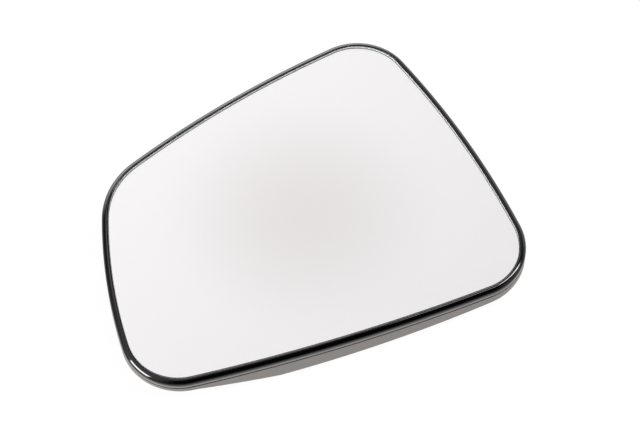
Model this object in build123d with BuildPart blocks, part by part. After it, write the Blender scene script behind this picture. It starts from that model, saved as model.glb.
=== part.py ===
from build123d import *
import os

# Car door mirror glass: a convex silvered pane bonded by a foam pad into a moulded carrier.
# It lies on its back. The origin is the centre of the locating ring's end face, +Z points out
# of the pane, +X runs along the lower edge towards the wide end and +Y towards the upper edge.

# The pane's pocket in plan, before its corners are rounded, and where the ring's axis lies in it
pocket_length = 171.8
pocket_height = 133.1
axis_from_left = 87.2
axis_from_bottom = 54.5

# How far the upper corners stand in from the lower ones, and the fall from the right one to the left
right_lean = 27.0
left_lean = 13.5
top_fall = 37.2

# How far each side bows outwards between its corner points
bottom_bow = 5.7
right_bow = 5.5
top_bow = 4.1
left_bow = 5.4

# Corner radii of the pocket
bottom_left_round = 22.6
bottom_right_round = 22.6
top_right_round = 21.8
top_left_round = 31.5

# Pane: part of a sphere, with a ground front edge
pane_radius = 1200.0
pane_thickness = 2.0
pane_gap = 0.12
ground_edge = 0.4

# Bonding pad
pad_thickness = 1.0
pad_inset = 4.0

# Carrier plate and bead rim
plate_thickness = 2.0
rim_width = 2.5
lip_height = 0.8
lip_break = 0.4
lip_land = 0.03

# Parting groove round the outside, measured down from the bead's crown
parting_depth = 4.3
groove_width = 0.7
groove_depth = 0.5

# Skirt: depths of its back edge below the middle of the pane, and where the edge changes slope
skirt_wall = 1.8
skirt_deep = 15.4
skirt_deep_x = -31.0
skirt_right = 11.8
skirt_left = 10.6
skirt_left_x = -66.0

# Locating ring for the adjuster's spigot, and the key slot that stops it turning
ring_stand = 2.1
ring_bore = 23.0
ring_wall = 2.0
key_width = 5.0
key_depth = 3.0

# Snap hooks round the ring
hook_count = 4
hook_start = 45.0
hook_gap = 3.2
hook_thickness = 1.6
hook_width = 9.0
hook_reach = 1.4
hook_lead = 1.8
hook_catch = 2.4
hook_setback = 0.6
window_gap = 0.8

# Stiffening ribs: a grid across the plate, with short ties from it to the ring
rib_thickness = 1.4
rib_height = 3.5
rib_setback = 1.0
rib_near_x = 34.0
rib_far_x = 62.0
rib_y = 34.0
tie_count = 4

# Sizes that follow from the driving ones
apex_z = skirt_deep + ring_stand
pane_back = -pane_thickness
plate_front = pane_back - pad_thickness
plate_back = plate_front - plate_thickness
root_level = plate_back + plate_thickness / 2
bead_round = rim_width - lip_break - lip_land
groove_top = lip_height - parting_depth
block_height = apex_z + 2 * lip_height
reach = 2 * pocket_length
ring_outer = ring_bore + ring_wall
tie_length = min(rib_near_x, rib_y) - ring_bore - ring_wall / 2
hook_inner = ring_outer + hook_gap
hook_outer = hook_inner + hook_thickness
hook_tip = hook_inner + hook_thickness + hook_reach

left_x = -axis_from_left
right_x = pocket_length - axis_from_left
bottom_y = -axis_from_bottom
top_y = pocket_height - axis_from_bottom
bottom_left = (left_x, bottom_y)
bottom_right = (right_x, bottom_y)
top_right = (right_x - right_lean, top_y)
top_left = (left_x + left_lean, top_y - top_fall)
corner_rounds = [
    (bottom_left, bottom_left_round),
    (bottom_right, bottom_right_round),
    (top_right, top_right_round),
    (top_left, top_left_round),
]


def outline(grow):
    # The pocket's outline in plan, grown outwards by the given amount
    with BuildSketch() as shape:
        with BuildLine():
            SagittaArc(bottom_left, bottom_right, -bottom_bow)
            SagittaArc(bottom_right, top_right, -right_bow)
            SagittaArc(top_right, top_left, -top_bow)
            SagittaArc(top_left, bottom_left, -left_bow)
        make_face()
        if grow:
            offset(amount=grow, kind=Kind.INTERSECTION)
        for corner, radius in corner_rounds:
            fillet(shape.vertices().sort_by_distance(corner)[0], radius=radius + grow)
    return shape.sketch


def level(height):
    # A ball whose surface lies the given height above the front of the pane
    with BuildPart(Plane.XY.offset(apex_z - pane_radius)) as ball:
        Sphere(pane_radius + height, rotation=(90, 0, 0))
    return ball.part


# Convex pane with a ground front edge
with BuildPart() as mirror_glass:
    with BuildSketch():
        add(outline(-pane_gap))
    extrude(amount=block_height)
    add(level(0), mode=Mode.INTERSECT)
    add(level(pane_back), mode=Mode.SUBTRACT)
    pane_front = mirror_glass.faces().sort_by(Axis.Z)[-1]
    chamfer(pane_front.outer_wire().edges(), length=ground_edge)

# Foam pad between the pane and the plate
with BuildPart() as adhesive_pad:
    with BuildSketch():
        add(outline(-pane_gap - pad_inset))
    extrude(amount=block_height)
    add(level(pane_back), mode=Mode.INTERSECT)
    add(level(plate_front), mode=Mode.SUBTRACT)

# Space in front of the plate that takes the pane and its pad
with BuildPart() as pocket:
    with BuildSketch():
        add(outline(0))
    extrude(amount=block_height)
    add(level(plate_front), mode=Mode.SUBTRACT)

# Hollow behind the plate, inside the skirt
with BuildPart() as hollow:
    with BuildSketch():
        add(outline(rim_width - skirt_wall))
    extrude(amount=block_height)
    add(level(plate_back), mode=Mode.INTERSECT)

# Groove along the parting line
with BuildPart() as groove:
    with BuildSketch():
        add(outline(rim_width + groove_depth))
        add(outline(rim_width - groove_depth), mode=Mode.SUBTRACT)
    extrude(amount=block_height)
    add(level(groove_top), mode=Mode.INTERSECT)
    add(level(groove_top - groove_width), mode=Mode.SUBTRACT)

# Everything behind the skirt's back edge, which is deepest at one point along the lower side
with BuildPart() as behind:
    with BuildSketch(Plane.XZ):
        with BuildLine():
            Polyline(
                (reach, apex_z - skirt_right),
                (right_x, apex_z - skirt_right),
                (skirt_deep_x, apex_z - skirt_deep),
                (skirt_left_x, apex_z - skirt_left),
                (-reach, apex_z - skirt_left),
                (-reach, -block_height),
                (reach, -block_height),
                close=True,
            )
        make_face()
    extrude(amount=reach, both=True)

# Ribs from skirt to skirt and from the ring to them, of one height under the plate
with BuildPart() as ribs:
    with BuildSketch():
        with GridLocations(2 * rib_near_x, 0, 2, 1):
            Rectangle(rib_thickness, reach)
        with GridLocations(2 * rib_far_x, 0, 2, 1):
            Rectangle(rib_thickness, reach)
        with GridLocations(0, 2 * rib_y, 1, 2):
            Rectangle(reach, rib_thickness)
        with PolarLocations(ring_bore + ring_wall / 2, tie_count):
            Rectangle(tie_length, rib_thickness, align=(Align.MIN, Align.CENTER))
        add(outline(rim_width - skirt_wall / 2), mode=Mode.INTERSECT)
    extrude(amount=block_height)
    add(level(root_level), mode=Mode.INTERSECT)
    add(level(plate_back - rib_height), mode=Mode.SUBTRACT)
    with Locations((0, 0, rib_setback)):
        add(behind.part, mode=Mode.SUBTRACT)

# Ring that centres the carrier on the adjuster
with BuildPart() as ring:
    with BuildSketch():
        Circle(ring_outer)
        Circle(ring_bore, mode=Mode.SUBTRACT)
    extrude(amount=block_height)
    add(level(root_level), mode=Mode.INTERSECT)
    with Locations((ring_bore + ring_wall / 2, 0, 0)):
        Box(
            2 * ring_wall,
            key_width,
            key_depth,
            align=(Align.CENTER, Align.CENTER, Align.MIN),
            mode=Mode.SUBTRACT,
        )

# One sprung finger with a barb that faces outwards
with BuildPart() as hook:
    with BuildSketch(Plane.XZ):
        with BuildLine():
            Polyline(
                (hook_inner, hook_setback),
                (hook_outer, hook_setback),
                (hook_tip, hook_setback + hook_lead),
                (hook_tip, hook_setback + hook_catch),
                (hook_outer, hook_setback + hook_catch + hook_reach / 2),
                (hook_outer, block_height),
                (hook_inner, block_height),
                close=True,
            )
        make_face()
    extrude(amount=hook_width / 2, both=True)
    add(level(root_level), mode=Mode.INTERSECT)

# Opening in the plate over each barb
with BuildPart() as window:
    with BuildSketch(Plane.XY.offset(hook_setback + hook_catch + hook_reach)):
        with Locations((hook_outer, 0)):
            Rectangle(
                hook_reach + window_gap,
                hook_width + 2 * window_gap,
                align=(Align.MIN, Align.CENTER),
            )
    extrude(amount=block_height)

# Carrier: one moulding
with BuildPart() as carrier:
    with BuildSketch():
        add(outline(rim_width))
    extrude(amount=block_height)
    add(level(lip_height), mode=Mode.INTERSECT)
    add(pocket.part, mode=Mode.SUBTRACT)
    crown = carrier.faces().sort_by(Axis.Z)[-1]
    fillet(crown.outer_wire().edges(), radius=bead_round)
    crown = carrier.faces().sort_by(Axis.Z)[-1]
    chamfer(crown.inner_wires()[0].edges(), length=lip_break)
    add(hollow.part, mode=Mode.SUBTRACT)
    add(groove.part, mode=Mode.SUBTRACT)
    add(behind.part, mode=Mode.SUBTRACT)
    add(ribs.part)
    add(ring.part)
    with PolarLocations(0, hook_count, start_angle=hook_start):
        add(hook.part)
    with PolarLocations(0, hook_count, start_angle=hook_start):
        add(window.part, mode=Mode.SUBTRACT)

os.makedirs("parts", exist_ok=True)
mirror_glass.part.label = "mirror_glass"
export_step(mirror_glass.part, "parts/mirror_glass.step")
adhesive_pad.part.label = "adhesive_pad"
export_step(adhesive_pad.part, "parts/adhesive_pad.step")
carrier.part.label = "carrier"
export_step(carrier.part, "parts/carrier.step")
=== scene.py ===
import bpy
import numpy as np
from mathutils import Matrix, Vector


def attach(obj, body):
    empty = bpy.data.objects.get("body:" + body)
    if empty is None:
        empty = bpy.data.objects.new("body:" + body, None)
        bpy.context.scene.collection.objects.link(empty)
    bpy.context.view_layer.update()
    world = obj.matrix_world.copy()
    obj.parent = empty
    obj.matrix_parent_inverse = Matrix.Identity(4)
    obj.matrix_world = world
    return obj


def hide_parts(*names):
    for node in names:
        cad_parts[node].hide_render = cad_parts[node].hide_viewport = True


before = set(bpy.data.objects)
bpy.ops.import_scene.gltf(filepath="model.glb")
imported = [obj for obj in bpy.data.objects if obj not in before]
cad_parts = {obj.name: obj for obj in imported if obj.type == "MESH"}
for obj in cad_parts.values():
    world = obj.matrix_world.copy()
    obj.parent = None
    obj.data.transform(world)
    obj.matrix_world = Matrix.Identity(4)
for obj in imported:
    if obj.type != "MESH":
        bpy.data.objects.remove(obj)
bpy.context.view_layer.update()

mm = 0.001
noiseLow, noiseHigh = 0.3, 0.7      # most of a noise texture's values lie between these

# The pocket that holds the pane, in plan: corner points, outward bows of the sides, corner radii (mm)
pocket = {
    "corners": [(-87.2, -54.5), (84.6, -54.5), (57.6, 78.6), (-73.7, 41.4)],
    "bows": [5.7, 5.5, 4.1, 5.4],
    "rounds": [22.6, 22.6, 21.8, 31.5],
    "sideCuts": 96,
    "cornerCuts": 60,
}

# The pane is part of a ball; heights of everything are counted from its front (mm)
dome = {"radius": 1200.0, "apex": 17.5}


def hexColour(code):
    # sRGB hex to linear: v / 12.92 below 0.04045, else ((v + 0.055) / 1.055) ^ 2.4
    v = np.array([int(code[i:i + 2], 16) for i in (1, 3, 5)]) / 255
    v = np.where(v <= 0.04045, v / 12.92, ((v + 0.055) / 1.055) ** 2.4)
    return (*v.tolist(), 1.0)


def addNode(tree, kind, settings=None, inputs=None):
    # a socket given as an input is linked, anything else is its fixed value
    node = tree.nodes.new(kind)
    for key, value in (settings or {}).items():
        setattr(node, key, value)
    for key, value in (inputs or {}).items():
        if isinstance(value, bpy.types.NodeSocket):
            tree.links.new(value, node.inputs[key])
        else:
            node.inputs[key].default_value = value
    return node


def newMaterial(name):
    # an empty material and its node tree
    material = bpy.data.materials.new(name)
    material.use_nodes = True
    material.node_tree.nodes.clear()
    return material, material.node_tree


def pocketLine(d):
    # A side is the circle through its two corner points with the given bow: radius (L^2/4 + b^2) / 2b.
    # A corner is a circle inside both neighbours, so its centre lies (side radius - corner radius)
    # from both side centres. Stations step by equal turns of the outward normal along each arc.
    corners = [np.array(c) for c in d["corners"]]
    sides = []
    for i, bow in enumerate(d["bows"]):
        a, b = corners[i], corners[(i + 1) % 4]
        length = np.hypot(*(b - a))
        outward = np.array([b[1] - a[1], a[0] - b[0]]) / length
        radius = (length ** 2 / 4 + bow ** 2) / (2 * bow)
        sides.append(((a + b) / 2 + outward * (bow - radius), radius))
    middles = []
    for i, radius in enumerate(d["rounds"]):
        (c1, r1), (c2, r2) = sides[i - 1], sides[i]
        span = np.hypot(*(c2 - c1))
        along = (c2 - c1) / span
        reach = ((r1 - radius) ** 2 - (r2 - radius) ** 2 + span ** 2) / (2 * span)
        off = np.sqrt((r1 - radius) ** 2 - reach ** 2) * np.array([-along[1], along[0]])
        foot = c1 + along * reach
        middles.append(min(foot + off, foot - off, key=lambda q: np.hypot(*(q - corners[i]))))
    points, normals = [], []
    for i in range(4):
        j = (i + 1) % 4
        turns = [middles[i] - sides[i][0], middles[j] - sides[i][0], middles[j] - sides[j][0]]
        turns = np.unwrap([np.arctan2(t[1], t[0]) for t in turns])
        arcs = (sides[i][0], sides[i][1], d["sideCuts"]), (middles[j], d["rounds"][j], d["cornerCuts"])
        for k, (centre, radius, cuts) in enumerate(arcs):
            turn = np.linspace(turns[k], turns[k + 1], cuts, endpoint=False)
            normal = np.column_stack([np.cos(turn), np.sin(turn)])
            points.append(centre + normal * radius)
            normals.append(normal)
    points, normals = np.vstack(points), np.vstack(normals)
    start = np.argmin(np.abs(np.arctan2(points[:, 1], points[:, 0])))
    return np.roll(points, -start, axis=0), np.roll(normals, -start, axis=0)


def liftTo(q, height):
    # a point in plan goes up to the ball that lies the given height above the pane's front
    overCentre = np.sqrt((dome["radius"] + height) ** 2 - (q ** 2).sum(axis=-1))
    return dome["apex"] - dome["radius"] + overCentre


def arcOf(centre, radius, start, stop, cuts):
    # points on a circle between two angles in degrees
    turn = np.radians(np.linspace(start, stop, cuts))
    return np.column_stack([centre[0] + radius * np.cos(turn), centre[1] + radius * np.sin(turn)])


def carryRound(points, normals, section):
    # Each section point is (distance out from the pocket's line, height over the pane's front);
    # it is carried round the line, so row k is point k of the section all the way round.
    q = points[None] + normals[None] * section[:, 0, None, None]
    return np.dstack([q, liftTo(q, section[:, 1, None])])


def gridFaces(rows, around):
    # quads between neighbouring rows of a grid whose columns close on themselves
    k = np.arange(rows * around).reshape(rows, around)
    ahead = np.roll(k, -1, axis=1)
    return np.stack([k[:-1], ahead[:-1], ahead[1:], k[1:]], axis=-1)


def fanFaces(row, pole):
    # triangles from a closed row of vertices to one pole
    return np.column_stack([row, np.roll(row, -1), np.full(len(row), pole)])


def volumeOf(verts, faces):
    # signed volume: a sum of corner products, above zero when the faces point outwards
    total = 0.0
    for k in range(1, faces.shape[1] - 1):
        a, b, c = verts[faces[:, 0]], verts[faces[:, k]], verts[faces[:, k + 1]]
        total += (a * np.cross(b, c)).sum() / 6
    return total


def joinShells(shells):
    # several closed shells in one list of vertices, each with its faces turned outwards
    verts, faces, finish = [], [], []
    for shell in shells:
        base = sum(len(v) for v in verts)
        inwards = sum(volumeOf(shell["verts"], f) for f in shell["faces"]) < 0
        for f, slotNumber in zip(shell["faces"], shell.get("slots", [0] * len(shell["faces"]))):
            faces.append((f[:, ::-1] if inwards else f) + base)
            finish.append(np.full(len(f), slotNumber))
        verts.append(shell["verts"])
    return np.vstack(verts), faces, np.concatenate(finish)


def makePiece(name, shells, materials, creaseAngle, node):
    # a mesh of closed shells that stands in for a node, smooth but for edges past the crease angle
    verts, faces, finish = joinShells(shells)
    mesh = bpy.data.meshes.new(name)
    mesh.from_pydata((verts * mm).tolist(), [], [f for block in faces for f in block.tolist()])
    mesh.polygons.foreach_set("material_index", finish.astype(np.int32))
    mesh.shade_smooth()
    mesh.set_sharp_from_angle(angle=np.radians(creaseAngle))
    for material in materials:
        mesh.materials.append(material)
    mesh.validate()
    mesh.update()
    piece = bpy.data.objects.new(name, mesh)
    bpy.context.scene.collection.objects.link(piece)
    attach(piece, "root")
    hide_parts(node)
    print("made", name, len(mesh.vertices), "vertices", len(mesh.polygons), "faces")


def closedLayer(section, rings, slots):
    # A layer that lies on the ball: its edge is a section of (distance out, height) from the front to
    # the back, and both faces draw in to the middle by even shares of the edge's first and last line.
    # The slots are the finishes of the front, of each strip of the edge in turn, and of the back.
    edge = carryRound(linePoints, lineNormals, section)
    draw = np.linspace(0, 1, rings + 1)[1:-1, None, None]
    front, back = edge[None, 0, :, :2] * draw, edge[None, -1, :, :2] * draw[::-1]
    rows = np.concatenate([
        np.dstack([front, liftTo(front, section[0, 1])]),
        edge,
        np.dstack([back, liftTo(back, section[-1, 1])]),
    ])
    quads = gridFaces(len(rows), columns)
    verts = rows.reshape(-1, 3)
    index = np.arange(len(verts)).reshape(len(rows), columns)
    poles = np.array([[0, 0, dome["apex"] + h] for h in section[[0, -1], 1]])
    first, last = len(front), len(front) + len(edge) - 1
    onFront, onEdge, onBack = slots
    return {
        "verts": np.vstack([verts, poles]),
        "faces": [
            quads[:first].reshape(-1, 4), *quads[first:last], quads[last:].reshape(-1, 4),
            fanFaces(index[0], len(verts))[:, ::-1], fanFaces(index[-1], len(verts) + 1),
        ],
        "slots": [onFront, *onEdge, onBack, onFront, onBack],
    }


linePoints, lineNormals = pocketLine(pocket)
columns = len(linePoints)
lineAngle = np.arctan2(linePoints[:, 1], linePoints[:, 0])
lineDirection = np.column_stack([np.cos(lineAngle), np.sin(lineAngle)])
print("pocket line", columns, "stations")


# Moulded ABS: a polished mould gives the bead a deep piano black; below it the tool is
# spark-eroded, so the skirt and the back are satin. Their warm grey is partly the satin
# finish and partly a painted reflection of the bright floor.
absFinish = {
    "glossColour": "#010101",
    "satinAndSheenColour": "#6b6663",
    # painted shade for the parting groove
    "grooveShadeColour": "#1e1c1b",
    "glossRoughness": 0.08,
    "satinRoughness": 0.46,
    "ior": 1.46,
    "grainSize": 0.5,           # mm, drawn coarser than the tool's 0.1 mm so that it shows
    "grainDepth": 0.03,         # mm
    "grainStrength": 0.35,
    "mottle": (0.94, 1.06),     # how much the grain darkens and lightens the colour
    "peelSize": 6.0,            # mm, slow waves in the polish
    "peelDepth": 0.02,          # mm
    "peelStrength": 0.05,
    "fadeTop": -1.8,            # mm over the pane's front, where the polish ends and the grey with its painted floor reflection begins
    "fadeBottom": -3.2,
    "grooveShadeSpread": 0.1,         # mm, how far the painted groove shade reaches past the groove
}


def mouldedAbs(d):
    material, tree = newMaterial("moulded_abs")
    place = addNode(tree, "ShaderNodeTexCoord")
    centre = (0.0, 0.0, (dome["apex"] - dome["radius"]) * mm)
    fromCentre = addNode(tree, "ShaderNodeVectorMath", {"operation": "DISTANCE"}, {
        0: place.outputs["Object"], 1: centre,
    })
    satin = addNode(tree, "ShaderNodeMapRange", {"interpolation_type": "SMOOTHSTEP"}, {
        "Value": fromCentre.outputs["Value"],
        "From Min": (dome["radius"] + d["fadeTop"]) * mm,
        "From Max": (dome["radius"] + d["fadeBottom"]) * mm,
    })
    grain = addNode(tree, "ShaderNodeTexNoise", None, {
        "Vector": place.outputs["Object"], "Scale": 1 / (d["grainSize"] * mm),
        "Detail": 3.0, "Roughness": 0.6,
    })
    mottle = addNode(tree, "ShaderNodeMapRange", None, {
        "Value": grain.outputs["Fac"], "From Min": noiseLow, "From Max": noiseHigh,
        "To Min": d["mottle"][0], "To Max": d["mottle"][1],
    })
    # black on the bead, fading to the satin grey below, which is partly a painted reflection of the floor
    colour = addNode(tree, "ShaderNodeMix", {"data_type": "RGBA"}, {
        0: satin.outputs["Result"], 6: hexColour(d["glossColour"]), 7: hexColour(d["satinAndSheenColour"]),
    })
    # painted shade in the parting groove: a darker band between two heights
    high, low = carrier["grooveTop"], carrier["grooveBottom"]
    inGroove = addNode(tree, "ShaderNodeMath", {"operation": "COMPARE"}, {
        0: fromCentre.outputs["Value"],
        1: (dome["radius"] + (high + low) / 2) * mm,
        2: ((high - low) / 2 + d["grooveShadeSpread"]) * mm,
    })
    # the groove's band takes the painted shade colour
    grooveShaded = addNode(tree, "ShaderNodeMix", {"data_type": "RGBA"}, {
        0: inGroove.outputs["Value"], 6: colour.outputs[2], 7: hexColour(d["grooveShadeColour"]),
    })
    flecked = addNode(tree, "ShaderNodeVectorMath", {"operation": "SCALE"}, {
        0: grooveShaded.outputs[2], "Scale": mottle.outputs["Result"],
    })
    rough = addNode(tree, "ShaderNodeMapRange", None, {
        "Value": satin.outputs["Result"], "To Min": d["glossRoughness"], "To Max": d["satinRoughness"],
    })
    peel = addNode(tree, "ShaderNodeTexNoise", None, {
        "Vector": place.outputs["Object"], "Scale": 1 / (d["peelSize"] * mm), "Detail": 1.0,
    })
    wave = addNode(tree, "ShaderNodeBump", None, {
        "Strength": d["peelStrength"], "Distance": d["peelDepth"] * mm, "Height": peel.outputs["Fac"],
    })
    depth = addNode(tree, "ShaderNodeMath", {"operation": "MULTIPLY"}, {
        0: satin.outputs["Result"], 1: d["grainStrength"],
    })
    bump = addNode(tree, "ShaderNodeBump", None, {
        "Strength": depth.outputs["Value"], "Distance": d["grainDepth"] * mm,
        "Height": grain.outputs["Fac"], "Normal": wave.outputs["Normal"],
    })
    shader = addNode(tree, "ShaderNodeBsdfPrincipled", None, {
        "Base Color": flecked.outputs["Vector"], "Roughness": rough.outputs["Result"],
        "IOR": d["ior"], "Normal": bump.outputs["Normal"],
    })
    addNode(tree, "ShaderNodeOutputMaterial", None, {"Surface": shader.outputs["BSDF"]})
    return material


# Carrier moulding: plate, pocket wall, bead, parting groove, skirt and its back edge (mm)
carrier = {
    "plateFront": -3.0,
    "plateBack": -5.0,
    "rimWidth": 2.5,
    "crown": 0.0,
    "wallRows": [-1.9, -0.9],            # heights of the rows up the pocket's wall
    "lipRound": 0.42,
    "beadTop": (2.5, 4, 52),             # radius, and the slopes it runs between
    "beadSide": 1.3,                     # radius from there down to the flank
    "flankRows": [-2.3, -2.8, -3.3],     # heights of the rows down the flank
    "grooveTop": -3.9,
    "grooveBottom": -4.5,
    "grooveDepth": 0.5,
    "grooveEdge": 0.06,                  # its two edges are softened by this much
    "skirtInner": 0.7,                   # out from the pocket's line to the skirt's inner side
    "skirtRows": 7,
    "edgeX": [-66.0, -31.0, 84.6],       # where the back edge changes slope
    "edgeZ": [6.9, 2.1, 5.7],
    "edgeRound": 0.15,
    "rootRound": 0.6,
    "innerCircles": [7.0, 15.0, 21.0, 26.0],     # radii of the plate's rows inside the windows
    "outerCircles": [34.0, 36.0],                # and outside them
    "rimShares": [0.3, 0.6, 0.82, 0.94],         # then shares of the way out to the rim
    "windowIn": 29.8,
    "windowOut": 32.0,
    "windowHalf": 5.3,
    "hookAngles": [45.0, 135.0, 225.0, 315.0],
    "crease": 40,                        # degrees
}


def backEdge(x):
    # height of the skirt's back edge, straight between the places where its slope changes
    return np.interp(x, carrier["edgeX"], carrier["edgeZ"])


def windowSpans(d):
    # for each window: its angle, the columns between its two sides and their places along it
    halfTurn = np.degrees(np.arctan2(d["windowHalf"], d["windowOut"]))
    spans = []
    for angle in d["hookAngles"]:
        turn = (np.degrees(lineAngle) - angle + 180) % 360 - 180
        inside = np.flatnonzero(np.abs(turn) < halfTurn)
        along = np.interp(turn[inside], turn[inside[[0, -1]]], [-d["windowHalf"], d["windowHalf"]])
        spans.append((angle, inside, along))
    return spans


def plateRows(d, height, rim):
    # rows from near the middle of the plate to its rim: circles first, then the rim's own shape,
    # with the columns at each window drawn straight along its inner and outer side
    radii = np.array([*d["innerCircles"], d["windowIn"], d["windowOut"], *d["outerCircles"]])
    circles = lineDirection[None] * radii[:, None, None]
    firstRow = len(d["innerCircles"])
    for angle, inside, along in windowSpans(d):
        axis = np.array([np.cos(np.radians(angle)), np.sin(np.radians(angle))])
        across = np.array([-axis[1], axis[0]])
        for row, reach in ((firstRow, d["windowIn"]), (firstRow + 1, d["windowOut"])):
            circles[row, inside] = axis * reach + along[:, None] * across
    share = np.array(d["rimShares"])[:, None, None]
    blend = circles[-1:] * (1 - share) + rim[None] * share
    q = np.vstack([circles, blend])
    return np.dstack([q, liftTo(q, height)])


def rimSection(d):
    # (distance out, height) up the pocket's wall, over the lip and bead, and down past the groove.
    # The bead is two arcs that meet without a crease and end upright at the rim's full width.
    lipMiddle = (d["lipRound"], d["crown"] - d["lipRound"])
    topRound, gentle, steep = d["beadTop"]
    sideIn = d["rimWidth"] - d["beadSide"]
    slopes = np.radians(np.array([gentle, steep]))
    topIn = sideIn + (d["beadSide"] - topRound) * np.sin(slopes[1])
    topLow = d["crown"] - topRound * np.cos(slopes[0])
    sideLow = topLow + (topRound - d["beadSide"]) * np.cos(slopes[1])
    out, soft = d["rimWidth"], d["grooveEdge"]
    deep = out - d["grooveDepth"]
    return np.vstack([
        [(0.0, h) for h in (d["plateFront"], *d["wallRows"])],
        arcOf(lipMiddle, d["lipRound"], 180, 90, cuts=12),
        arcOf((topIn, topLow), topRound, 90 - gentle, 90 - steep, cuts=16),
        arcOf((sideIn, sideLow), d["beadSide"], 90 - steep, 0, cuts=12)[1:],
        [(out, h) for h in d["flankRows"]],
        [(out, d["grooveTop"] + soft), (out - soft, d["grooveTop"])],
        [(deep, d["grooveTop"]), (deep, d["grooveBottom"])],
        [(out - soft, d["grooveBottom"]), (out, d["grooveBottom"] - soft)],
    ])


def carrierShell(d):
    # One closed skin: out along the pocket's floor, up its wall, over the lip and bead, down past the
    # groove to the back edge, up inside the skirt and back along the plate's underside.
    upper = carryRound(linePoints, lineNormals, rimSection(d))
    # skirt wall: shares of the way from the groove down to the rounded back edge
    edgeRound, rootRound = d["edgeRound"], d["rootRound"]
    outer = linePoints + lineNormals * d["rimWidth"]
    edge = backEdge(outer[:, 0])
    share = np.linspace(0, 1, d["skirtRows"] + 2)[1:-1, None]
    wallZ = upper[-1, :, 2] * (1 - share) + (edge + edgeRound) * share
    wall = np.dstack([np.broadcast_to(outer, (len(wallZ), columns, 2)), wallZ])
    edgeSection = np.vstack([
        arcOf((d["rimWidth"] - edgeRound, edgeRound), edgeRound, 0, -90, cuts=7),
        arcOf((d["skirtInner"] + edgeRound, edgeRound), edgeRound, -90, -180, cuts=7),
    ])
    q = linePoints[None] + lineNormals[None] * edgeSection[:, 0, None, None]
    edgeRows = np.dstack([q, edge[None] + edgeSection[:, 1, None]])
    # inside of the skirt: shares of the way up to the rounded root, then the root itself
    rootMiddle = (d["skirtInner"] - rootRound, d["plateBack"] - rootRound)
    rootRows = carryRound(linePoints, lineNormals, arcOf(rootMiddle, rootRound, 0, 90, cuts=7))
    inner = edgeRows[-1]
    insideZ = inner[None, :, 2] * (1 - share) + rootRows[0, None, :, 2] * share
    inside = np.dstack([np.broadcast_to(inner[:, :2], (len(insideZ), columns, 2)), insideZ])
    floor = plateRows(d, d["plateFront"], linePoints)
    under = plateRows(d, d["plateBack"], rootRows[-1, :, :2])[::-1]
    rows = np.concatenate([floor, upper, wall, edgeRows, inside, rootRows, under])
    count = len(rows)
    quads = gridFaces(count, columns)
    keep = np.ones(quads.shape[:2], bool)
    index = np.arange(count * columns).reshape(count, columns)
    # each window leaves out quads of the floor and the underside, and has walls between them
    topRow = len(d["innerCircles"])
    underRow = count - 2 - topRow
    walls = []
    for _, cut, _ in windowSpans(d):
        keep[topRow, cut[:-1]] = False
        keep[underRow, cut[:-1]] = False
        top, low = index[topRow:topRow + 2], index[underRow:underRow + 2][::-1]
        loopTop = np.concatenate([top[0, cut], top[1, cut[::-1]]])
        loopLow = np.concatenate([low[0, cut], low[1, cut[::-1]]])
        walls.append(np.column_stack([loopTop, loopLow, np.roll(loopLow, -1), np.roll(loopTop, -1)]))
    verts = rows.reshape(-1, 3)
    poles = np.array([[0, 0, dome["apex"] + d[key]] for key in ("plateFront", "plateBack")])
    fans = [fanFaces(index[0], len(verts))[:, ::-1], fanFaces(index[-1], len(verts) + 1)]
    return {"verts": np.vstack([verts, poles]), "faces": [quads[keep], np.vstack(walls), *fans]}


# Locating ring: a turned section with rounded end edges and a rounded foot, with a key slot (mm)
ring = {
    "bore": 23.0, "wall": 2.0, "edgeRound": 0.3, "footRound": 0.7, "cuts": 180,
    "slotWidth": 5.0, "slotDepth": 3.0,
    "lap": 0.6,         # how far the two parts of the ring overlap
    "sink": 0.6,        # how far it goes into the plate
}


def turnedRing(d):
    # The upper part is the section turned right round; below the slot's depth it is turned only
    # from one side of the slot to the other, and closed by a flat end at each side.
    bore, outer = d["bore"], d["bore"] + d["wall"]
    foot = float(liftTo(np.array([outer, 0.0]), carrier["plateBack"]))
    edgeRound, footRound = d["edgeRound"], d["footRound"]
    sunk, lapped = foot + d["sink"], d["slotDepth"] + d["lap"]
    upper = np.vstack([
        [(bore, d["slotDepth"]), (bore, foot - footRound)],
        arcOf((bore - footRound, foot - footRound), footRound, 0, 90, cuts=6)[1:],
        [(bore - footRound, sunk), (outer + footRound, sunk)],
        arcOf((outer + footRound, foot - footRound), footRound, 90, 180, cuts=6),
        [(outer, d["slotDepth"])],
    ])
    turn = np.radians(np.arange(d["cuts"]) * 360 / d["cuts"])
    closed = np.vstack([upper, upper[:1]])
    rows = np.stack([
        closed[:, 0, None] * np.cos(turn), closed[:, 0, None] * np.sin(turn),
        np.broadcast_to(closed[:, 1, None], (len(closed), d["cuts"])),
    ], axis=-1)
    faces = gridFaces(len(closed), d["cuts"]).reshape(-1, 4)
    faces = np.where(faces >= len(upper) * d["cuts"], faces - len(upper) * d["cuts"], faces)
    shells = [{"verts": rows[:-1].reshape(-1, 3), "faces": [faces]}]
    lower = np.vstack([
        arcOf((bore + edgeRound, edgeRound), edgeRound, 180, 270, cuts=6),
        arcOf((outer - edgeRound, edgeRound), edgeRound, 270, 360, cuts=6),
        [(outer, lapped), (bore, lapped)],
    ])
    half = np.arcsin(d["slotWidth"] / 2 / bore)
    turn = np.linspace(half, 2 * np.pi - half, d["cuts"])
    spun = np.stack([
        np.cos(turn)[:, None] * lower[:, 0], np.sin(turn)[:, None] * lower[:, 0],
        np.broadcast_to(lower[:, 1], (d["cuts"], len(lower))),
    ], axis=-1)
    shells.append(cappedRows(spun))
    return shells


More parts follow.
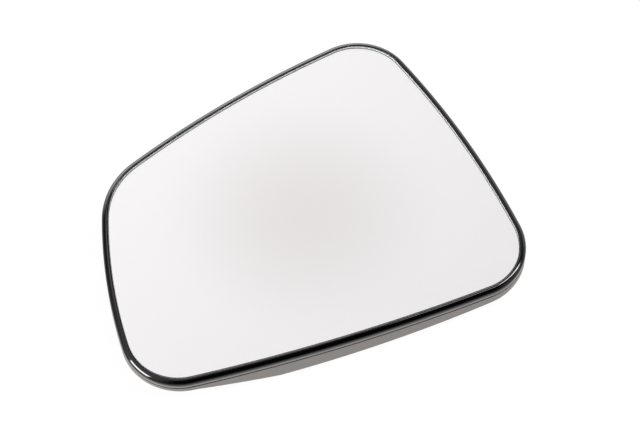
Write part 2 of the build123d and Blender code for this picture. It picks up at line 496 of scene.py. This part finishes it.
def cappedRows(rows):
    # a tube of closed rows, ended by a fan of triangles to the middle of the first and last row
    count, around = rows.shape[:2]
    index = np.arange(count * around).reshape(count, around)
    middles = np.stack([rows[0].mean(axis=0), rows[-1].mean(axis=0)])
    first, last = count * around, count * around + 1
    return {
        "verts": np.vstack([rows.reshape(-1, 3), middles]),
        "faces": [
            gridFaces(count, around).reshape(-1, 4),
            np.vstack([fanFaces(index[0], first)[:, ::-1], fanFaces(index[-1], last)]),
        ],
    }


# Snap hooks: a sprung finger with an outward barb, its edges broken (mm)
hooks = {
    "inner": 28.2, "thickness": 1.6, "barb": 1.4, "lead": 1.8, "catch": 2.4, "setback": 0.6,
    "halfWidth": 4.5, "break": 0.25, "footRound": 0.8,
    "toeCut": 0.25,
    "noseCut": (0.1, 0.12, 0.15),       # back along the end, then out and up the lead-in
    "tipCut": (0.1, 0.12, 0.1),         # back in and down the lead-in, then up the tip
    "catchCut": (0.1, 0.12, 0.06),      # down the tip, then in and up the catch
    "rootStep": 1.0,                    # the last row of the outer side lies this far below the plate
    "sink": 0.8,                        # how far the foot goes into the plate
}


def snapHooks(d):
    # The side view is carried across the finger's width. Near each side it shrinks by a quarter
    # circle's worth of the edge break, so the edges are rounded.
    inner, outer = d["inner"], d["inner"] + d["thickness"]
    tip, low = outer + d["barb"], d["setback"]
    foot = float(liftTo(np.array([inner, 0.0]), carrier["plateBack"]))
    footRound, sunk = d["footRound"], foot + d["sink"]
    lead, catch = low + d["lead"], low + d["catch"]
    nose, point, hold = d["noseCut"], d["tipCut"], d["catchCut"]
    side = np.vstack([
        [(inner + d["toeCut"], low)],
        [(outer - nose[0], low), (outer + nose[1], low + nose[2])],
        [(tip - point[0], lead - point[1]), (tip, lead + point[2])],
        [(tip, catch - hold[0]), (tip - hold[1], catch + hold[2])],
        [(outer, catch + d["barb"] / 2), (outer, foot - d["rootStep"]), (outer, sunk)],
        [(inner - footRound, sunk)],
        arcOf((inner - footRound, foot - footRound), footRound, 90, 0, cuts=6),
        [(inner, low + d["toeCut"])],
    ])
    turn = np.radians(np.linspace(0, 90, 5))
    run = d["halfWidth"] - d["break"] * (1 - np.sin(turn))
    run = np.concatenate([-run[::-1], run])
    shrink = d["break"] * (1 - np.cos(np.concatenate([turn[::-1], turn])))
    before, after = np.roll(side, 1, axis=0), np.roll(side, -1, axis=0)
    along = (after - before) / np.linalg.norm(after - before, axis=1)[:, None]
    inward = np.column_stack([-along[:, 1], along[:, 0]])
    section = side[None] + inward[None] * shrink[:, None, None]
    spread = np.broadcast_to(run[:, None], section.shape[:2])
    rows = np.stack([section[..., 0], spread, section[..., 1]], axis=-1)
    shells = []
    for angle in np.radians(carrier["hookAngles"]):
        cosine, sine = np.cos(angle), np.sin(angle)
        spin = np.array([[cosine, sine, 0], [-sine, cosine, 0], [0, 0, 1]])
        shells.append(cappedRows(rows @ spin))
    return shells


# Ribs: a grid under the plate with short ties to the ring, drafted, with round roots (mm)
ribs = {
    "thickness": 1.4, "draft": 0.2, "height": 3.5, "tipRound": 0.35, "rootRound": 0.5,
    "sink": 0.6,            # how far the roots go into the plate
    "setback": 1.0,         # how far the ribs stay inside the skirt's back edge
    "skirtReach": 1.4,      # their ends lie this far out from the pocket's line, in the skirt's wall
    "nearX": 34.0, "farX": 62.0, "rowY": 34.0, "ties": 4, "cuts": 60,
}


def ribShell(d, start, stop):
    # A section of (distance off the rib's line, height) is carried along a straight line in plan.
    # Heights follow the ball, but stay a set distance inside the skirt's back edge.
    half, tipRound, rootRound = d["thickness"] / 2, d["tipRound"], d["rootRound"]
    tip = half - d["draft"] / 2
    top = carrier["plateBack"]
    low = top - d["height"]
    right = np.vstack([
        [(half + rootRound, top + d["sink"])],
        arcOf((half + rootRound, top - rootRound), rootRound, 90, 180, cuts=5),
        arcOf((tip - tipRound, low + tipRound), tipRound, 0, -90, cuts=5),
    ])
    left = right[::-1] * np.array([-1, 1])
    section = np.vstack([right, left])
    start, stop = np.array(start), np.array(stop)
    along = (stop - start) / np.linalg.norm(stop - start)
    across = np.array([-along[1], along[0]])
    path = start + np.linspace(0, 1, d["cuts"])[:, None] * (stop - start)
    q = path[:, None] + across * section[None, :, 0, None]
    z = np.maximum(liftTo(q, section[None, :, 1]), backEdge(q[..., 0]) + d["setback"])
    return cappedRows(np.dstack([q, z]))


def ribGrid(d):
    # straight ribs from skirt to skirt along and across the plate, and ties from the ring to them
    skirt = linePoints + lineNormals * d["skirtReach"]
    shells = []
    lines = [(0, sign * d[key]) for key in ("nearX", "farX") for sign in (-1, 1)]
    lines += [(1, sign * d["rowY"]) for sign in (-1, 1)]
    for axis, place in lines:
        # the line's two ends are where the skirt's line crosses it
        side = skirt[:, axis] - place
        nextSide = np.roll(side, -1)
        cross = np.flatnonzero(side * nextSide < 0)
        share = side[cross] / (side[cross] - nextSide[cross])
        ends = skirt[cross] + share[:, None] * (np.roll(skirt, -1, axis=0)[cross] - skirt[cross])
        ends = ends[np.argsort(ends[:, 1 - axis])]
        shells.append(ribShell(d, ends[0], ends[1]))
    inner, outer = ring["bore"] + ring["wall"] / 2, min(d["nearX"], d["rowY"])
    for k in range(d["ties"]):
        angle = 2 * np.pi * k / d["ties"]
        spoke = np.array([np.cos(angle), np.sin(angle)])
        shells.append(ribShell(d, spoke * inner, spoke * outer))
    return shells


blackAbs = mouldedAbs(absFinish)
moulding = [carrierShell(carrier), *turnedRing(ring), *snapHooks(hooks), *ribGrid(ribs)]
makePiece("carrier_moulding", moulding, [blackAbs], carrier["crease"], "carrier")


# Mirror glass: clear float glass with the silver on its back, so the far edges show the glass's
# thickness as a grey line. A thin film on the silver softens what it mirrors a little in places.
glassFinish = {
    "clear": "#fdfdfd",
    "silver": "#f6f4f5",
    "groundSide": "#a8aba9",
    "darkBevel": "#3a3c3b",           # the ground bevel is a dark grey
    "backPaint": "#4a4c4c",
    "glassIor": 1.52,
    "glassRoughness": 0.01,             # in the patches left from wiping
    "wipeRange": (0.5, 0.8),            # noise values between which a wiped patch fades in
    "mirrorRoughness": (0.02, 0.05),    # bare silver, and silver with a film on it
    "filmRange": (0.4, 0.7),
    "filmSize": 45.0,                   # mm
    "groundRoughness": 0.55,
    "sideShine": 0.0,                   # the side is seen through the front, so it has no shine of its own
    "bevelShine": 0.5,
    "gritSize": 0.4,                    # mm, drawn coarser than the wheel's 0.1 mm grit so that it shows
    "gritTone": (0.97, 1.03),
    "paintIor": 1.5,
    "paintRoughness": (0.45, 0.65),
    "streakSize": 8.0,                  # mm, flow marks in the paint
}


def clearGlass(d):
    # float glass: bright and clean, with a barely softer patch here and there from wiping
    material, tree = newMaterial("clear_float_glass")
    place = addNode(tree, "ShaderNodeTexCoord")
    wipe = addNode(tree, "ShaderNodeTexNoise", None, {
        "Vector": place.outputs["Object"], "Scale": 1 / (d["filmSize"] * mm), "Detail": 2.0,
    })
    rough = addNode(tree, "ShaderNodeMapRange", None, {
        "Value": wipe.outputs["Fac"], "From Min": d["wipeRange"][0], "From Max": d["wipeRange"][1],
        "To Min": 0.0, "To Max": d["glassRoughness"],
    })
    shader = addNode(tree, "ShaderNodeBsdfPrincipled", None, {
        "Base Color": hexColour(d["clear"]), "Roughness": rough.outputs["Result"],
        "IOR": d["glassIor"], "Transmission Weight": 1.0,
    })
    # lamps and scattered light reach the ground side straight through the front, which keeps it even
    path = addNode(tree, "ShaderNodeLightPath")
    gap = addNode(tree, "ShaderNodeBsdfTransparent")
    surface = shader.outputs["BSDF"]
    for ray in ("Is Shadow Ray", "Is Diffuse Ray"):
        surface = addNode(tree, "ShaderNodeMixShader", None, {
            0: path.outputs[ray], 1: surface, 2: gap.outputs["BSDF"],
        }).outputs["Shader"]
    addNode(tree, "ShaderNodeOutputMaterial", None, {"Surface": surface})
    return material


def silveredBack(d):
    # silver under the glass: a bright neutral mirror
    material, tree = newMaterial("mirror_silver")
    place = addNode(tree, "ShaderNodeTexCoord")
    film = addNode(tree, "ShaderNodeTexNoise", None, {
        "Vector": place.outputs["Object"], "Scale": 1 / (d["filmSize"] * mm), "Detail": 2.0,
    })
    rough = addNode(tree, "ShaderNodeMapRange", None, {
        "Value": film.outputs["Fac"], "From Min": d["filmRange"][0], "From Max": d["filmRange"][1],
        "To Min": d["mirrorRoughness"][0], "To Max": d["mirrorRoughness"][1],
    })
    shader = addNode(tree, "ShaderNodeBsdfPrincipled", None, {
        "Base Color": hexColour(d["silver"]), "Metallic": 1.0, "Roughness": rough.outputs["Result"],
    })
    addNode(tree, "ShaderNodeOutputMaterial", None, {"Surface": shader.outputs["BSDF"]})
    return material


def frostedGlass(d, name, finish, shine):
    # ground by a wheel: dull, with a fine grit
    material, tree = newMaterial(name)
    place = addNode(tree, "ShaderNodeTexCoord")
    grit = addNode(tree, "ShaderNodeTexNoise", None, {
        "Vector": place.outputs["Object"], "Scale": 1 / (d["gritSize"] * mm), "Detail": 2.0,
    })
    tone = addNode(tree, "ShaderNodeMapRange", None, {
        "Value": grit.outputs["Fac"], "From Min": noiseLow, "From Max": noiseHigh,
        "To Min": d["gritTone"][0], "To Max": d["gritTone"][1],
    })
    colour = addNode(tree, "ShaderNodeVectorMath", {"operation": "SCALE"}, {
        0: hexColour(d[finish])[:3], "Scale": tone.outputs["Result"],
    })
    shader = addNode(tree, "ShaderNodeBsdfPrincipled", None, {
        "Base Color": colour.outputs["Vector"], "Roughness": d["groundRoughness"],
        "IOR": d["glassIor"], "Specular IOR Level": d[shine],
    })
    addNode(tree, "ShaderNodeOutputMaterial", None, {"Surface": shader.outputs["BSDF"]})
    return material


def backingPaint(d):
    # paint and film behind the silver: a dull dark grey with faint flow marks
    material, tree = newMaterial("mirror_backing_paint")
    place = addNode(tree, "ShaderNodeTexCoord")
    streak = addNode(tree, "ShaderNodeTexNoise", None, {
        "Vector": place.outputs["Object"], "Scale": 1 / (d["streakSize"] * mm), "Detail": 3.0,
    })
    rough = addNode(tree, "ShaderNodeMapRange", None, {
        "Value": streak.outputs["Fac"],
        "To Min": d["paintRoughness"][0], "To Max": d["paintRoughness"][1],
    })
    shader = addNode(tree, "ShaderNodeBsdfPrincipled", None, {
        "Base Color": hexColour(d["backPaint"]), "Roughness": rough.outputs["Result"],
        "IOR": d["paintIor"],
    })
    addNode(tree, "ShaderNodeOutputMaterial", None, {"Surface": shader.outputs["BSDF"]})
    return material


# Pane: a piece of the ball with a ground front edge, and behind its silver a coat of paint and
# safety film (mm)
pane = {
    "gap": 0.12, "thickness": 2.0, "groundEdge": 0.2, "edgeSoft": 0.05, "bevelSoft": 0.03,
    "coat": 0.6, "coatGap": 0.01, "rings": 40, "coatRings": 8,
    "crease": 30,       # degrees
}


def mirrorPane(d):
    # The glass's edge runs over a guard line, the ground bevel and the side; the coat is a thin layer.
    out, ground, soft, bevelSoft = -d["gap"], d["groundEdge"], d["edgeSoft"], d["bevelSoft"]
    low = d["coat"] - d["thickness"]
    glass = np.array([
        (out - ground - 2 * soft, 0.0), (out - ground - soft, 0.0),
        (out - ground + bevelSoft, -bevelSoft), (out - bevelSoft, bevelSoft - ground),
        (out, -ground - soft), (out, low + soft),
        (out - soft, low), (out - 2 * soft, low),
    ])
    top, under = low - d["coatGap"], -d["thickness"]
    coat = np.array([(out - 2 * soft, top), (out - soft, (top + under) / 2), (out - 2 * soft, under)])
    clear, side, silver, paint, bevel = range(5)
    return [
        closedLayer(glass, d["rings"], (clear, [clear, bevel, bevel, bevel, side, side, silver], silver)),
        closedLayer(coat, d["coatRings"], (paint, [paint, paint], paint)),
    ]


# in the order of the numbers in mirrorPane
paneFinishes = [
    clearGlass(glassFinish),
    frostedGlass(glassFinish, "ground_glass_side", "groundSide", "sideShine"),
    silveredBack(glassFinish),
    backingPaint(glassFinish),
    frostedGlass(glassFinish, "dark_glass_bevel", "darkBevel", "bevelShine"),
]
makePiece("mirror_pane", mirrorPane(pane), paneFinishes, pane["crease"], "mirror_glass")


# Polyethylene foam tape: closed cells give a dull black with small pits
padFinish = {
    "colour": "#1b1b1c", "roughness": 0.9, "ior": 1.5,
    "cellSize": 0.7, "pitDepth": 0.1, "pitStrength": 0.5,       # mm, mm and a share
}


def blackFoam(d):
    material, tree = newMaterial("polyethylene_foam")
    place = addNode(tree, "ShaderNodeTexCoord")
    cells = addNode(tree, "ShaderNodeTexVoronoi", None, {
        "Vector": place.outputs["Object"], "Scale": 1 / (d["cellSize"] * mm),
    })
    pits = addNode(tree, "ShaderNodeBump", None, {
        "Strength": d["pitStrength"], "Distance": d["pitDepth"] * mm, "Height": cells.outputs["Distance"],
    })
    shader = addNode(tree, "ShaderNodeBsdfPrincipled", None, {
        "Base Color": hexColour(d["colour"]), "Roughness": d["roughness"], "IOR": d["ior"],
        "Normal": pits.outputs["Normal"],
    })
    addNode(tree, "ShaderNodeOutputMaterial", None, {"Surface": shader.outputs["BSDF"]})
    return material


# Bonding pad between the pane and the plate, its cut edge pressed a little hollow (mm)
pad = {
    "inset": 4.12, "front": -2.0, "back": -3.0, "hollow": 0.12, "edgeRows": 7, "rings": 12,
    "crease": 40,       # degrees
}


def foamPad(d):
    # the edge runs from the front to the back on a shallow sine
    share = np.linspace(0, 1, d["edgeRows"])
    section = np.column_stack([
        -d["inset"] - d["hollow"] * np.sin(np.pi * share),
        d["front"] + (d["back"] - d["front"]) * share,
    ])
    return closedLayer(section, d["rings"], (0, [0] * (len(section) - 1), 0))


makePiece("bonding_pad", [foamPad(pad)], [blackFoam(padFinish)], pad["crease"], "adhesive_pad")


# Stage: the camera, a white floor, the studio that the part mirrors, two soft boxes and two strips
view = {
    "target": (6.38, -2.51, 17.5),     # mm
    "distance": 1100.0,                # mm
    "azimuth": -108.74,                # degrees from +X to the camera, in plan
    "elevation": 60.0,
    "lens": 146.64,                    # mm
    "sensor": 36.0,
    "clip": (0.01, 50.0),              # m
}


def pointing(azimuth, elevation):
    # unit vector from two angles in degrees
    a, e = np.radians(azimuth), np.radians(elevation)
    return np.array([np.cos(e) * np.cos(a), np.cos(e) * np.sin(a), np.sin(e)])


def putCamera(d):
    data = bpy.data.cameras.new("camera")
    data.lens = d["lens"]
    data.sensor_width = d["sensor"]
    data.clip_start, data.clip_end = d["clip"]
    camera = bpy.data.objects.new("camera", data)
    bpy.context.scene.collection.objects.link(camera)
    toCamera = pointing(d["azimuth"], d["elevation"])
    camera.location = (np.array(d["target"]) + toCamera * d["distance"]) * mm
    camera.rotation_euler = Vector(-toCamera).to_track_quat("-Z", "Y").to_euler()
    bpy.context.scene.camera = camera


# White paper; what is seen of it is mostly a glow of its own, so that it stays white (m)
floorPlan = {"halfSize": 6.0, "colour": "#f7f7f7", "glow": 0.93}


def putFloor(d):
    half = d["halfSize"]
    mesh = bpy.data.meshes.new("studio_floor")
    corners = [(-half, -half, 0), (half, -half, 0), (half, half, 0), (-half, half, 0)]
    mesh.from_pydata(corners, [], [(0, 1, 2, 3)])
    floor = bpy.data.objects.new("studio_floor", mesh)
    bpy.context.scene.collection.objects.link(floor)
    material, tree = newMaterial("white_paper")
    path = addNode(tree, "ShaderNodeLightPath")
    seen = addNode(tree, "ShaderNodeMath", {"operation": "MAXIMUM"}, {
        0: path.outputs["Is Camera Ray"], 1: path.outputs["Is Glossy Ray"],
    })
    seen = addNode(tree, "ShaderNodeMath", {"operation": "MAXIMUM"}, {
        0: seen.outputs["Value"], 1: path.outputs["Is Transmission Ray"],
    })
    share = addNode(tree, "ShaderNodeMath", {"operation": "MULTIPLY"}, {
        0: seen.outputs["Value"], 1: d["glow"],
    })
    paper = addNode(tree, "ShaderNodeBsdfDiffuse", None, {"Color": hexColour(d["colour"])})
    glow = addNode(tree, "ShaderNodeEmission", None, {"Color": (1, 1, 1, 1), "Strength": 1.0})
    both = addNode(tree, "ShaderNodeMixShader", None, {
        0: share.outputs["Value"], 1: paper.outputs["BSDF"], 2: glow.outputs["Emission"],
    })
    addNode(tree, "ShaderNodeOutputMaterial", None, {"Surface": both.outputs["Shader"]})
    mesh.materials.append(material)


# What the pane and the bead mirror: a grey room with soft pools of light and of dusk in it, each
# fading from its full angle to its edge angle round a direction (degrees). A later pool lies over
# the ones before it, and the white ceiling opposite the camera over them all. Dull surfaces get
# one even light, the fill.
studio = {
    "fill": 0.5,
    "room": 0.2,
    "pools": {
        "dusk": {"at": (-90.0, 50.0), "full": 25.0, "edge": 44.0, "level": 0.02},
        "backdrop": {"at": (30.0, 0.0), "full": 15.0, "edge": 40.0, "level": 1.6},
        "leftWall": {"at": (-178.0, 32.0), "full": 12.0, "edge": 43.0, "level": 1.2},
        "rightWall": {"at": (-28.0, 14.0), "full": 8.0, "edge": 30.0, "level": 0.7},
        "window": {"at": (90.0, 5.0), "full": 13.0, "edge": 44.0, "level": 5.6},
        "zenith": {"at": (140.0, 68.0), "full": 12.0, "edge": 34.0, "level": 1.1},
        "skylight": {"at": (107.0, 56.0), "full": 3.0, "edge": 9.0, "level": 5.0},
    },
    "ceiling": {
        "at": (71.0, 60.0), "full": 15.0, "edge": 26.0,
        "fall": -64.0,                                  # the side towards which it darkens slowly
        "high": 1.06, "low": 0.89, "spread": 0.22,
    },
    # a soft, faintly warm shade in the middle of the ceiling
    "shade": {"at": (72.3, 59.8), "edge": 9.0, "depth": 0.117, "tint": "#fffdfc"},
}


def putStudio(d):
    world = bpy.data.worlds.new("studio")
    bpy.context.scene.world = world
    world.use_nodes = True
    tree = world.node_tree
    tree.nodes.clear()
    place = addNode(tree, "ShaderNodeTexCoord")

    def along(direction):
        # cosine of the angle between the ray and a direction
        return addNode(tree, "ShaderNodeVectorMath", {"operation": "DOT_PRODUCT"}, {
            0: place.outputs["Generated"], 1: pointing(*direction).tolist(),
        }).outputs["Value"]

    def spot(centre, full, edge, fade="SMOOTHSTEP"):
        # 1 within the full angle round a direction, fading to 0 at the edge angle
        return addNode(tree, "ShaderNodeMapRange", {"interpolation_type": fade}, {
            "Value": along(centre),
            "From Min": float(np.cos(np.radians(edge))), "From Max": float(np.cos(np.radians(full))),
        }).outputs["Result"]

    lit, top, shade = d["room"], d["ceiling"], d["shade"]
    for pool in d["pools"].values():
        lit = addNode(tree, "ShaderNodeMix", {"data_type": "FLOAT"}, {
            0: spot(pool["at"], pool["full"], pool["edge"]), 2: lit, 3: pool["level"],
        }).outputs[0]
    darker = (top["fall"], 0.0)
    middle = float(pointing(*top["at"]) @ pointing(*darker))
    slope = addNode(tree, "ShaderNodeMapRange", None, {
        "Value": along(darker), "From Min": middle - top["spread"], "From Max": middle + top["spread"],
        "To Min": top["high"], "To Max": top["low"],
    })
    # the shade fades as (1 - (angle / edge)^2)^2, which shows no rim
    bump = addNode(tree, "ShaderNodeMath", {"operation": "POWER"}, {
        0: spot(shade["at"], 0.0, shade["edge"], "LINEAR"), 1: 2.0,
    })
    dim = addNode(tree, "ShaderNodeMapRange", None, {
        "Value": bump.outputs["Value"], "To Min": 1.0, "To Max": 1.0 - shade["depth"],
    })
    ceiling = addNode(tree, "ShaderNodeMath", {"operation": "MULTIPLY"}, {
        0: slope.outputs["Result"], 1: dim.outputs["Result"],
    })
    mirrored = addNode(tree, "ShaderNodeMix", {"data_type": "FLOAT"}, {
        0: spot(top["at"], top["full"], top["edge"]), 2: lit, 3: ceiling.outputs["Value"],
    })
    path = addNode(tree, "ShaderNodeLightPath")
    shiny = addNode(tree, "ShaderNodeMath", {"operation": "MAXIMUM"}, {
        0: path.outputs["Is Glossy Ray"], 1: path.outputs["Is Transmission Ray"],
    })
    # past a dull surface the light is even, also where it comes through glass or off the silver
    sharp = addNode(tree, "ShaderNodeMath", {"operation": "LESS_THAN"}, {
        0: path.outputs["Diffuse Depth"], 1: 0.5,
    })
    shiny = addNode(tree, "ShaderNodeMath", {"operation": "MULTIPLY"}, {
        0: shiny.outputs["Value"], 1: sharp.outputs["Value"],
    })
    level = addNode(tree, "ShaderNodeMix", {"data_type": "FLOAT"}, {
        0: shiny.outputs["Value"], 2: d["fill"], 3: mirrored.outputs[0],
    })
    level = addNode(tree, "ShaderNodeMix", {"data_type": "FLOAT"}, {
        0: path.outputs["Is Camera Ray"], 2: level.outputs[0], 3: 1.0,
    })
    tint = addNode(tree, "ShaderNodeMix", {"data_type": "RGBA"}, {
        0: bump.outputs["Value"], 6: (1, 1, 1, 1), 7: hexColour(shade["tint"]),
    })
    shader = addNode(tree, "ShaderNodeBackground", None, {
        "Color": tint.outputs[2], "Strength": level.outputs[0],
    })
    addNode(tree, "ShaderNodeOutputWorld", None, {"Surface": shader.outputs["Background"]})


# Soft boxes and strips, each named for where it stands: direction (degrees), distance (m), size (m)
# and power (W). One that isn't mirrored lights the part, and the bead doesn't show it.
lamps = {
    "left_box": {
        "at": (-172.0, 20.0), "distance": 1.6, "size": (0.8, 0.6), "power": 40.0, "mirrored": True,
    },
    "right_box": {
        "at": (-18.0, 36.0), "distance": 1.6, "size": (0.6, 1.2), "power": 12.0, "mirrored": False,
    },
    "right_strip": {
        "at": (-9.0, 48.0), "distance": 1.6, "size": (0.2, 0.85), "power": 14.0, "mirrored": True,
    },
    "top_strip": {
        "at": (-16.0, 69.0), "distance": 1.6, "size": (0.2, 0.4), "power": 1.5, "mirrored": True,
    },
}


def putLamp(name, d):
    data = bpy.data.lights.new(name, "AREA")
    data.shape = "RECTANGLE"
    data.size, data.size_y = d["size"]
    data.energy = d["power"]
    lamp = bpy.data.objects.new(name, data)
    bpy.context.scene.collection.objects.link(lamp)
    towards = pointing(*d["at"])
    lamp.location = towards * d["distance"]
    lamp.rotation_euler = Vector(-towards).to_track_quat("-Z", "Y").to_euler()
    lamp.visible_transmission = False      # the silver behind the glass mirrors the room alone
    lamp.visible_glossy = d["mirrored"]


putCamera(view)
putFloor(floorPlan)
putStudio(studio)
for lampName, lampPlan in lamps.items():
    putLamp(lampName, lampPlan)
bpy.context.scene.view_settings.view_transform = "Standard"
print("stage set")
